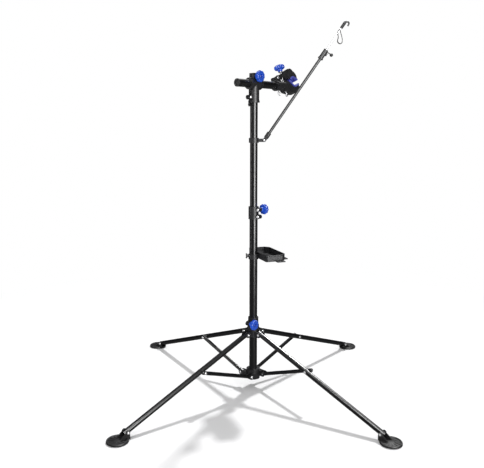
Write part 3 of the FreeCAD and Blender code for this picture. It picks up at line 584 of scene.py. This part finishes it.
# ---- jaw pads -------------------------------------------------------------------------------------
GRIP = next(mount for mount in frame["record"]["mounts"] if mount["name"] == "jaw_grip")
CLAMP = basis(Vector(GRIP["pos_m"]), joint_line("clamp_roll")[1], joint_line("clamp_screw_travel")[1])
GRIP_R = GRIP["dims"]["r_mm"] * MM
PAD_HALF_WIDTH = GRIP["dims"]["length_mm"] * MM / 2
PAD_THICK = 8 * MM
PAD_REAR = 45                # slope of the pad's wall on the arm's side, in degrees
PAD_FLARE = 25               # slope of the pad's wall on the mouth's side, in degrees
PAD_EDGE = 2.2 * MM
PAD_BORDER = 3 * MM          # smooth strip beside the ribs
RIB_PITCH = 3.6 * MM
RIB_DEPTH = 0.7 * MM
RIB_GAP = 0.35               # share of the pitch that is a groove
WALL_STEPS = 24
SEAT_STEPS = 32
ROUNDED_STEPS = 3            # steps at each end that are rounded off


def polar(angle, radius=1.0):
    """A point in the clamp's XZ plane, at this angle in degrees."""
    turn = math.radians(angle)
    return Vector((radius * math.cos(turn), 0, radius * math.sin(turn)))


def pad_path(side, rear_length, front_length, radius):
    """The pad's line at this radius from the grip's axis: rear wall, round seat, front wall. side is
    -1 for the lower pad and +1 for the upper one."""
    rear, front = 180 - side * PAD_REAR, side * (90 - PAD_FLARE)
    rear_way, front_way = polar(180 + side * PAD_REAR), polar(-side * PAD_FLARE)
    turn = -side * (90 - PAD_REAR + PAD_FLARE)
    points = [polar(rear, radius) + rear_way * rear_length * (1 - i / WALL_STEPS)
              for i in range(WALL_STEPS)]
    points += [polar(rear + turn * i / SEAT_STEPS, radius) for i in range(SEAT_STEPS + 1)]
    points += [polar(front, radius) + front_way * front_length * i / WALL_STEPS
               for i in range(1, WALL_STEPS + 1)]
    return points


def build_pad(name, node, body, side, rear_length, front_length):
    """A rubber jaw pad with ribs across its inner face and rounded edges."""
    inner = pad_path(side, rear_length, front_length, GRIP_R)
    outer = pad_path(side, rear_length, front_length, GRIP_R + PAD_THICK)
    last = len(inner) - 1
    rows = []
    travelled = 0.0
    mesh = bmesh.new()
    for k, (a, b) in enumerate(zip(inner, outer)):
        travelled += (a - inner[k - 1]).length if k else 0.0
        out = (b - a).normalized()
        dip = RIB_DEPTH if (travelled / RIB_PITCH) % 1 < RIB_GAP else 0
        tuck = PAD_EDGE * (1 - min(k, last - k, ROUNDED_STEPS) / ROUNDED_STEPS) ** 2
        # half of the section, as (depth from the inner line, distance from the pad's edge)
        half = [(dip + tuck, PAD_EDGE + PAD_BORDER), (tuck, PAD_EDGE),
                (tuck + 0.35 * PAD_EDGE, 0.3 * PAD_EDGE), (tuck + PAD_EDGE, 0),
                ((b - a).length - tuck, 0)]
        right = [(depth, PAD_HALF_WIDTH - inset) for depth, inset in half]
        left = [(depth, -y) for depth, y in reversed(right)]
        section = left[-1:] + right + left[:-1]
        rows.append([mesh.verts.new(CLAMP @ (a + out * depth + Vector((0, y, 0))))
                     for depth, y in section])
    join_solid(mesh, rows)
    piece(name, mesh, "pad_navy", body, node, smooth_angle=50)


# ---- wing screws ----------------------------------------------------------------------------------
SHANK_R = 2.9 * MM
BOSS_R = 5.2 * MM
EAR_HALF_THICK = 2.6 * MM    # at the boss
EAR_HALF_RIM = 1.6 * MM      # at the ear's rim
EAR_RISE = 5.5 * MM
EAR_SLOPE = 0.12             # how far its underside rises, as a share of the boss's length
EAR_FULL = 0.8               # it has its full rise from this share on
EAR_ROUND = 0.55             # the rim's rounding starts at this share of the ear
EAR_TIP = 0.12               # height of the rim, as a share of the ear's
EAR_STEPS = 8
EAR_SEGMENTS = 12


def ear(mesh, place, way, boss_low, length):
    """Adds one drop-shaped ear to a wing screw. way is how far it reaches, with its sign."""
    rows = []
    for k in range(EAR_STEPS + 1):
        t = k / EAR_STEPS
        half = EAR_HALF_THICK + (EAR_HALF_RIM - EAR_HALF_THICK) * t
        low = boss_low + 1 * MM + (length - boss_low) * EAR_SLOPE * t
        high = length - EAR_RISE * (1 - math.sin(min(1, t / EAR_FULL) * math.pi / 2))
        squeeze = math.sqrt(1 - max(0.0, (t - EAR_ROUND) / (1 - EAR_ROUND)) ** 2)
        tall = (high - low) / 2 * max(squeeze, EAR_TIP)
        rows.append([mesh.verts.new(place @ Vector((way * t, half * side,
                                                    (low + high) / 2 + tall * rise)))
                     for rise, side in circle(1, EAR_SEGMENTS)])
    join_solid(mesh, rows)


def wing_screw(name, body, reach):
    """A moulded wing screw: two ears, up and down, on a tapered boss, with a plated shank, though the
    piece gives the shank the same black plastic finish as the rest. Its node has the name of its body."""
    origin, axis = joint_line(f"{body}_turn")
    low, high = span(body, origin, axis)
    boss_low = span(body, origin, axis, beyond=4 * MM)[0] - low
    length = high - low
    mesh = bmesh.new()
    lathe(mesh, [(0, 0), (SHANK_R - 0.5 * MM, 0), (SHANK_R, 0.6 * MM), (SHANK_R, boss_low),
                 (BOSS_R - 0.4 * MM, boss_low), (BOSS_R, boss_low + 1 * MM),
                 (BOSS_R - 0.8 * MM, boss_low + 0.45 * (length - boss_low)),
                 (BOSS_R - 1.6 * MM, length - 3 * MM), (2 * MM, length - 1.8 * MM),
                 (0, length - 1.6 * MM)], stand_on(origin, axis, low), 32)
    for sign in (-1, 1):
        ear(mesh, basis(origin + axis * low, UP, axis), sign * reach, boss_low, length)
    piece(name, mesh, "plastic_black", body, body, smooth_angle=45)


# ---- lock pin -------------------------------------------------------------------------------------
PIN_R = 2.9 * MM
RING_WIRE_R = 1.3 * MM
RING_HALF = 7 * MM           # half the ring's width
RING_TOP = 30 * MM           # where the ring starts, from the arm's axis


def build_lock_pin():
    """The plated spring pin and the bent wire ring that pulls it."""
    origin, across = joint_line("clamp_roll")
    _, axis = joint_line("lock_pin_pull")
    low, high = span("lock_pin", origin, axis, PIN_R + 0.5 * MM)
    _, ring_end = span("lock_pin", origin, axis)
    mesh = bmesh.new()
    lathe(mesh, [(0, 0), (PIN_R - 0.7 * MM, 0), (PIN_R, 1.2 * MM), (PIN_R, high - low),
                 (0, high - low)], stand_on(origin, axis, low), 28)
    height = ring_end - RING_WIRE_R - RING_TOP
    one_side = [(RING_HALF - 2 * MM, 0), (RING_HALF, 2 * MM), (RING_HALF, height - 6 * MM),
                (0.72 * RING_HALF, height - 1.8 * MM)]
    outline = [(0, 0)] + one_side + [(0, height)] + [(-x, z) for x, z in reversed(one_side)]
    corners = [origin + axis * (RING_TOP + z) + across * x for x, z in outline]
    loop = smooth_curve(corners + corners[:1], 6)[:-1]
    sweep(mesh, loop, circle(RING_WIRE_R, 12), across.cross(axis), closed=True)
    piece("pull_pin", mesh, "chrome", "lock_pin", "lock_pin", finish="steel")


# ---- hook and strap -------------------------------------------------------------------------------
ROD_FOOT, _ = joint_line("rod_tilt")
ROD_WAY = joint_line("rod_length")[1]
ROD_OUT = joint_line("rod_thumbscrew_turn")[1]
BARREL_R = 6.2 * MM
RIDGE_R = 6.3 * MM
GROOVE_R = 5.6 * MM
RIDGES = 5
RIDGE_PITCH = 3.4 * MM
HOOK_R = 3.6 * MM
STRAP_THICK = 1.4 * MM
STRAP_EDGE = 0.4 * MM
TAIL = (0.40, 0.74)          # where the strap's tail starts and ends, as shares of the loop
SEAMS = (0.055, 0.075)       # where its stitched rows are
STITCH_PITCH = 1.4 * MM


def hook_size(t):
    """The hook's thickness along its way: fuller towards the tip, which is rounded off."""
    return 0.9 + 0.25 * max(0.0, t - 0.75) - (0.35 if t > 0.985 else 0)


def build_hook():
    """A moulded hook on a ridged barrel, over the inner rod's end."""
    low, high = span("rod_hook", ROD_FOOT, ROD_WAY, RIDGE_R + 0.3 * MM)
    length = high - low
    rings = [(0, 0), (BARREL_R - 1 * MM, 0), (BARREL_R, 0.8 * MM)]
    for i in range(RIDGES):
        z = 2.5 * MM + RIDGE_PITCH * i
        rings += [(RIDGE_R, z), (GROOVE_R, z + 0.8 * MM), (GROOVE_R, z + 1.6 * MM),
                  (RIDGE_R, z + 2.4 * MM)]
    rings += [(BARREL_R, length - 7 * MM), (BARREL_R - 1.2 * MM, length - 3 * MM),
              (2.8 * MM, length - 0.8 * MM), (0, length - 0.4 * MM)]
    mesh = bmesh.new()
    lathe(mesh, rings, stand_on(ROD_FOOT, ROD_WAY, low), 32)
    end = ROD_FOOT + ROD_WAY * high
    # along the rod from the barrel's end, and out from it, in millimetres
    bend = [(-6, 0), (-1, 3), (2.5, 9), (1.5, 14), (-4, 16.5), (-11, 17)]
    path = smooth_curve([end + (ROD_WAY * along + ROD_OUT * out) * MM for along, out in bend], 8)
    sweep(mesh, path, circle(HOOK_R, 16), ROD_WAY.cross(ROD_OUT), scale=hook_size)
    piece("moulded_hook", mesh, "plastic_black", "rod_inner", "rod_hook", smooth_angle=60)


def band(half, low, high, edge):
    """A flat band's profile from low to high, with chamfered edges."""
    return [(-half + edge, low), (half - edge, low), (half, low + edge), (half, high - edge),
            (half - edge, high), (-half + edge, high), (-half, high - edge), (-half, low + edge)]


def build_strap():
    """A hook-and-loop strap: a hanging drop of webbing with its tail stuck back on itself."""
    lowest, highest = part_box("rod_strap")
    along_y = Vector((0, 1, 0))
    centre_y = box_centre("rod_strap").y
    half = (highest.y - lowest.y) / 2 - 0.3 * MM
    top, height = highest.z, highest.z - lowest.z
    left, right = lowest.x + 1 * MM, highest.x - 1 * MM
    middle = (left + right) / 2
    rod_x = ROD_FOOT.x + (top - 8 * MM - ROD_FOOT.z) * ROD_WAY.x / ROD_WAY.z
    # x, and how far below the top
    outline = [(rod_x, 2 * MM), (rod_x + 4.2 * MM, 6 * MM), (rod_x + 6.8 * MM, 14 * MM),
               (right - 3 * MM, 0.52 * height), (right - 0.8 * MM, 0.76 * height),
               (middle + 6 * MM, height - 3.5 * MM), (middle - 3 * MM, height - 3 * MM),
               (left + 1.2 * MM, 0.80 * height), (left + 3.5 * MM, 0.55 * height),
               (rod_x - 6.6 * MM, 14 * MM), (rod_x - 4.2 * MM, 6 * MM)]
    loop = [Vector((x, centre_y, top - drop)) for x, drop in outline]
    path = smooth_curve(loop + loop[:1], 14)[:-1]
    count = len(path)
    mesh = bmesh.new()
    sweep(mesh, path, band(half, 0, STRAP_THICK, STRAP_EDGE), along_y, closed=True)
    # the tail is narrower and lies against the loop's lower half
    tail = [(side * 0.96, out - STRAP_THICK * 0.98)
            for side, out in band(half, 0, STRAP_THICK, STRAP_EDGE)]
    sweep(mesh, path[int(TAIL[0] * count):int(TAIL[1] * count)], tail, along_y)
    piece("webbing_strap", mesh, "strap_black", "rod_inner", "rod_strap", smooth_angle=50)

    mesh = bmesh.new()
    stitch = [(0, -0.6 * MM), (0.22 * MM, -0.5 * MM), (0.26 * MM, 0), (0.22 * MM, 0.5 * MM),
              (0, 0.6 * MM)]
    for seam in SEAMS:
        k = int(seam * count)
        way = (path[k + 1] - path[k - 1]).normalized()
        for i in range(-3, 4):
            lathe(mesh, stitch, stand_on(path[k] + along_y * (i * STITCH_PITCH), way), 8)
    piece("strap_stitches", mesh, "strap_black", "rod_inner", finish="stitch_grey")


# ---- tray rim -------------------------------------------------------------------------------------
RIM_CORNER = 4 * MM          # length of a rounded corner along each side,
RIM_CORNER_MOST = 0.45       # but at most this share of the side
RIM_DROP = 1.4 * MM          # how far the lip's line lies below the tray's edge
LIP_HALF_HEIGHT = 1.8 * MM
LIP_HALF_WIDTH = 2.5 * MM
LIP_OFFSET = 0.6 * MM
LIP_SEGMENTS = 14


def rounded_corner(before, corner, after, steps=4):
    """Points on a curve that cuts a corner."""
    ends = []
    for other in (before, after):
        way = other - corner
        ends.append(corner + way * min(RIM_CORNER / way.length, RIM_CORNER_MOST))
    points = []
    for i in range(steps + 1):
        t = i / steps
        points.append((1 - t) ** 2 * ends[0] + 2 * t * (1 - t) * corner + t * t * ends[1])
    return points


def build_tray_rim():
    """The rolled lip around the tray's edge, as the tray's plan runs: a rectangle with cut corners."""
    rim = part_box("tray")[1].z
    out = -joint_line("tray_thumbscrew_turn")[1]
    side = UP.cross(out)
    edge = [(v.co.dot(out), v.co.dot(side)) for v in NODES["tray"].data.vertices
            if abs(v.co.z - rim) < 0.2 * MM]
    x0, x1 = min(x for x, _ in edge), max(x for x, _ in edge)
    y0, y1 = min(y for _, y in edge), max(y for _, y in edge)
    long_side = [x for x, y in edge if y > y1 - 0.5 * MM]
    near, far = min(long_side) - x0, x1 - max(long_side)
    plan = [Vector(point) for point in (
        (x0 + near, y0), (x1 - far, y0), (x1, y0 + far), (x1, y1 - far), (x1 - far, y1),
        (x0 + near, y1), (x0, y1 - near), (x0, y0 + near))]
    path = []
    for k, corner in enumerate(plan):
        for point in rounded_corner(plan[k - 1], corner, plan[(k + 1) % len(plan)]):
            path.append(out * point.x + side * point.y + UP * (rim - RIM_DROP))
    lip = [(LIP_HALF_HEIGHT * sine, LIP_OFFSET + LIP_HALF_WIDTH * cosine)
           for cosine, sine in circle(1, LIP_SEGMENTS)]
    mesh = bmesh.new()
    sweep(mesh, path, lip, UP, closed=True)
    piece("tray_rim_lip", mesh, "plastic_grey", "tray")


# ---- feet -----------------------------------------------------------------------------------------
FOOT_THICK = 9 * MM
FOOT_RIBS = 12
RIB_FREE = -0.75             # cosine of the angle past which no rib stands
RIB_HALF = 0.9 * MM
CHEEK_INSIDE = 11.4 * MM     # from the leg's middle to a cheek
CHEEK_THICK = 4 * MM
CHEEK_R = 9 * MM
CHEEK_STEPS = 10


def slab(mesh, outline, place, low, high, edge):
    """Adds a flat plate: the outline lies in local XZ, its edges are rounded off by edge."""
    points = [Vector(point) for point in outline]
    middle = sum(points, Vector((0, 0))) / len(points)
    rows = []
    for y, inset in ((low, edge), (low + edge, 0), (high - edge, 0), (high, edge)):
        moved_in = [point + (middle - point).normalized() * inset for point in points]
        rows.append([mesh.verts.new(place @ Vector((x, y, z))) for x, z in moved_in])
    join_solid(mesh, rows)


def foot_disc(mesh, place, radius):
    """Adds a dished disc with a raised rim and ribs, but none towards local -X, where the leg is."""
    top = FOOT_THICK
    lathe(mesh, [(0, 0), (radius - 2 * MM, 0), (radius - 0.4 * MM, 1.2 * MM), (radius, 3 * MM),
                 (radius - 0.6 * MM, top - 2.4 * MM), (radius - 2.2 * MM, top - 0.4 * MM),
                 (radius - 4.2 * MM, top), (radius - 6.2 * MM, top - 0.6 * MM),
                 (radius - 7.4 * MM, top - 2.4 * MM), (radius - 8 * MM, top - 3.4 * MM),
                 (16 * MM, top - 3 * MM), (12 * MM, top - 2.2 * MM), (0, top - 2 * MM)], place, 72)
    rib = [(12 * MM, top - 6 * MM), (radius - 6 * MM, top - 6 * MM),
           (radius - 6.6 * MM, top - 1.2 * MM), (13 * MM, top - 1.2 * MM)]
    for i in range(FOOT_RIBS):
        angle = TURN * (i + 0.5) / FOOT_RIBS
        if math.cos(angle) > RIB_FREE:
            slab(mesh, rib, place @ Matrix.Rotation(angle, 4, "Z"), -RIB_HALF, RIB_HALF, 0.3 * MM)


def build_foot(leg):
    """A foot disc, and the two cheeks on a block that hold the leg's end."""
    node = f"foot_pad_{leg}"
    pivot, axis = joint_line(f"{node}_swivel")
    floor_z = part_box(node)[0].z
    out = axis.cross(UP)
    if out.dot(pivot) < 0:
        out = -out
    offsets = [v.co - pivot for v in NODES[node].data.vertices]
    radius = max(abs(offset.dot(axis)) for offset in offsets)
    centre = max(offset.dot(out) for offset in offsets) - radius
    place = basis(Vector((pivot.x, pivot.y, floor_z)), out, UP)
    mesh = bmesh.new()
    foot_disc(mesh, place @ Matrix.Translation((centre, 0, 0)), radius)

    height = pivot.z - floor_z
    low, top = FOOT_THICK - 4 * MM, FOOT_THICK - 1 * MM
    cheek = [(-CHEEK_R, low), (-CHEEK_R, height)]
    for i in range(1, CHEEK_STEPS):
        angle = math.pi * i / CHEEK_STEPS
        cheek.append((-CHEEK_R * math.cos(angle), height + CHEEK_R * math.sin(angle)))
    cheek += [(CHEEK_R, height), (20 * MM, 19.5 * MM), (34 * MM, top), (34 * MM, low)]
    cheek_end = CHEEK_INSIDE + CHEEK_THICK
    for near, far in ((-cheek_end, -CHEEK_INSIDE), (CHEEK_INSIDE, cheek_end)):
        slab(mesh, cheek, place, near, far, 0.6 * MM)
    block = [(-CHEEK_R, 1 * MM), (10 * MM, 1 * MM), (10 * MM, top), (-CHEEK_R, top)]
    slab(mesh, block, place, -cheek_end, cheek_end, 0.6 * MM)
    piece(f"foot_disc_{leg}", mesh, "foot_rubber", node, node, smooth_angle=40)


# ---- all the pieces -------------------------------------------------------------------------------
star_knob("upper_hub_star_knob", "upper_hub_knob")
star_knob("collar_star_knob", "post_collar_knob")
star_knob("head_star_knob", "head_knob")
star_knob("clamp_star_knob", "clamp_knob")
build_clamp_screw()
for leg in LEGS:
    build_leg_bolts(leg)
build_hub_bolts()
build_pad("lower_ribbed_pad", "lower_jaw_pad", "clamp_body", -1, 23 * MM, 23 * MM)
build_pad("upper_ribbed_pad", "upper_jaw_pad", "upper_jaw", 1, 7 * MM, 21 * MM)
build_knob_bolt("hub_clamp_bolt", "upper_hub_clamp_bolt", "upper_hub_knob", "upper_hub",
                3 * MM, 6 * MM)
build_knob_bolt("head_clamp_bolt_socket", "head_clamp_bolt", "head_knob", "head", 4 * MM, 7 * MM)
build_collar_bolts()
build_through_bolt("neck_clamp_bolt", "head_neck_bolt", "head", box_centre("head_neck_bolt"),
                   joint_line("head_knob_turn")[1], M6_HIGH)
build_through_bolt("jaw_hinge_bolt", "jaw_pivot_bolt", "clamp_body", *joint_line("jaw_open"), M6)
build_through_bolt("rod_hinge_bolt", "rod_pivot_bolt", "rod_collar", *joint_line("rod_tilt"), M5)
wing_screw("tray_wing_screw", "tray_thumbscrew", 11.5 * MM)
wing_screw("neck_wing_screw", "neck_screw", 7.8 * MM)
build_lock_pin()
build_hook()
build_strap()
build_tray_rim()
for leg in LEGS:
    build_foot(leg)

# the CAD nodes that no piece stands for keep their shape, with edges rounded in millimetres
EDGE = {"clamp_body": 1.6, "upper_jaw": 2.2, "head": 1.4, "post_collar": 1.2, "upper_hub": 1.2,
        "base_hub": 1.2, "rod_collar": 0.8, "rod_socket": 0.8, "tray": 0.7, "tray_clamp": 0.8,
        "rod_lock_sleeve": 0.6}
PLAIN_EDGE = 0.4
for node, obj in NODES.items():
    if not obj.hide_render:
        paint(obj, SLOT_OF[node])
        soften(obj, EDGE.get(node, PLAIN_EDGE))


# ---- stage, light and camera ----------------------------------------------------------------------
WHITE_NEAR, WHITE_FAR = 1.15, 2.3      # the floor turns pure white between these distances
FLOOR_R = 30
FLOOR_GAP = 0.5 * MM                   # below the feet
FLOOR_REFLECTION = 0.10
WORLD_LIGHT = 0.60
WORLD_REFLECTION = 0.02
WORLD_SEEN = 1.0
CAMERA_PLACE = (-0.0188, -2.585, 1.141)
CAMERA_PITCH_DOWN = 9.75
CAMERA_TURN_LEFT = 0.69
CAMERA_LENS_PX = 605.3                 # for a frame this wide
FRAME_WIDTH_PX = 484
SENSOR_WIDTH = 36.0


def build_floor():
    """A pale floor that fades to pure white around the stand."""
    bpy.ops.mesh.primitive_circle_add(radius=FLOOR_R, vertices=96, fill_type="NGON",
                                      location=(0, 0, -FLOOR_GAP))
    floor = bpy.context.object
    floor.name = "floor"
    mat = bpy.data.materials.new("pale_floor")
    mat.use_nodes = True
    nodes, links = mat.node_tree.nodes, mat.node_tree.links
    shader = nodes["Principled BSDF"]
    shader.inputs["Base Color"].default_value = (0.90, 0.90, 0.905, 1)
    shader.inputs["Roughness"].default_value = 0.8
    shader.inputs["Specular IOR Level"].default_value = 0.1
    white = nodes.new("ShaderNodeEmission")
    white.inputs["Strength"].default_value = 1.0
    coords = nodes.new("ShaderNodeTexCoord")
    length = nodes.new("ShaderNodeVectorMath")
    length.operation = "LENGTH"
    links.new(coords.outputs["Object"], length.inputs[0])
    fade = nodes.new("ShaderNodeMapRange")
    fade.interpolation_type = "SMOOTHSTEP"
    fade.inputs["From Min"].default_value = WHITE_NEAR
    fade.inputs["From Max"].default_value = WHITE_FAR
    links.new(length.outputs["Value"], fade.inputs["Value"])
    seen = nodes.new("ShaderNodeMixShader")
    links.new(fade.outputs["Result"], seen.inputs[0])
    links.new(shader.outputs[0], seen.inputs[1])
    links.new(white.outputs[0], seen.inputs[2])
    # the stand's gloss reflects a darker floor, so that black tubes stay black
    dark = nodes.new("ShaderNodeEmission")
    dark.inputs["Strength"].default_value = FLOOR_REFLECTION
    ray = nodes.new("ShaderNodeLightPath")
    whole = nodes.new("ShaderNodeMixShader")
    links.new(ray.outputs["Is Glossy Ray"], whole.inputs[0])
    links.new(seen.outputs[0], whole.inputs[1])
    links.new(dark.outputs[0], whole.inputs[2])
    links.new(whole.outputs[0], nodes["Material Output"].inputs["Surface"])
    floor.data.materials.append(mat)
    # folding brings the feet below the open stand's ground, and the floor goes down with them
    follow = floor.constraints.new("COPY_LOCATION")
    follow.target = frame["bodies"]["foot_pad_1"]
    follow.use_x = False
    follow.use_y = False
    follow.use_offset = True


def build_world():
    """White to the camera, softer as a light, and dark in reflections."""
    world = bpy.data.worlds.new("studio")
    bpy.context.scene.world = world
    world.use_nodes = True
    nodes, links = world.node_tree.nodes, world.node_tree.links
    background = nodes["Background"]
    background.inputs["Color"].default_value = (1, 1, 1, 1)
    ray = nodes.new("ShaderNodeLightPath")

    def pick(factor, when_off, when_on):
        """One strength for the rays that factor marks, and another for the rest."""
        node = nodes.new("ShaderNodeMapRange")
        node.inputs["To Min"].default_value = when_off
        node.inputs["To Max"].default_value = when_on
        links.new(factor, node.inputs["Value"])
        return node

    glossy = pick(ray.outputs["Is Glossy Ray"], WORLD_LIGHT, WORLD_REFLECTION)
    camera = pick(ray.outputs["Is Camera Ray"], WORLD_LIGHT, WORLD_SEEN)
    links.new(glossy.outputs["Result"], camera.inputs["To Min"])
    links.new(camera.outputs["Result"], background.inputs["Strength"])


def area(name, location, target, size_x, size_y, power, gloss_only=False):
    """A soft light. With gloss_only it is seen only as a highlight on glossy surfaces."""
    data = bpy.data.lights.new(name, "AREA")
    data.shape = "RECTANGLE"
    data.size = size_x
    data.size_y = size_y
    data.energy = power
    light = bpy.data.objects.new(name, data)
    bpy.context.scene.collection.objects.link(light)
    light.location = location
    direction = Vector(target) - Vector(location)
    light.rotation_euler = direction.to_track_quat("-Z", "Y").to_euler()
    light.visible_diffuse = not gloss_only


def sun(direction, strength, softness):
    """The light that casts the shadows. softness is its width in degrees."""
    data = bpy.data.lights.new("sun", "SUN")
    data.energy = strength
    data.angle = math.radians(softness)
    light = bpy.data.objects.new("sun", data)
    bpy.context.scene.collection.objects.link(light)
    light.rotation_euler = Vector(direction).to_track_quat("-Z", "Y").to_euler()


def build_lights():
    """A sun from the upper right and behind, a soft fill, and highlights along the tubes."""
    sun((-0.28, -0.62, -0.90), 2.3, 4.0)
    area("front_fill", (-1.4, -3.0, 2.4), (0, 0, 0.9), 1.5, 1.5, 24)
    area("right_highlight", (1.5, -2.4, 1.0), (0, 0, 0.75), 1.35, 2.8, 150, gloss_only=True)
    area("left_highlight", (-2.8, -0.6, 1.2), (0, 0, 0.8), 0.25, 2.6, 9, gloss_only=True)
    area("high_highlight", (-0.3, -1.6, 3.2), (0, 0, 0.2), 1.6, 0.8, 90, gloss_only=True)


def build_camera():
    """A camera in front of the stand, a little above its middle."""
    data = bpy.data.cameras.new("camera")
    data.sensor_width = SENSOR_WIDTH
    data.lens = CAMERA_LENS_PX / FRAME_WIDTH_PX * data.sensor_width
    camera = bpy.data.objects.new("camera", data)
    bpy.context.scene.collection.objects.link(camera)
    camera.location = CAMERA_PLACE
    camera.rotation_euler = (math.radians(90 - CAMERA_PITCH_DOWN), 0, math.radians(CAMERA_TURN_LEFT))
    bpy.context.scene.camera = camera


build_floor()
build_world()
build_lights()
build_camera()
bpy.context.scene.view_settings.view_transform = "Standard"
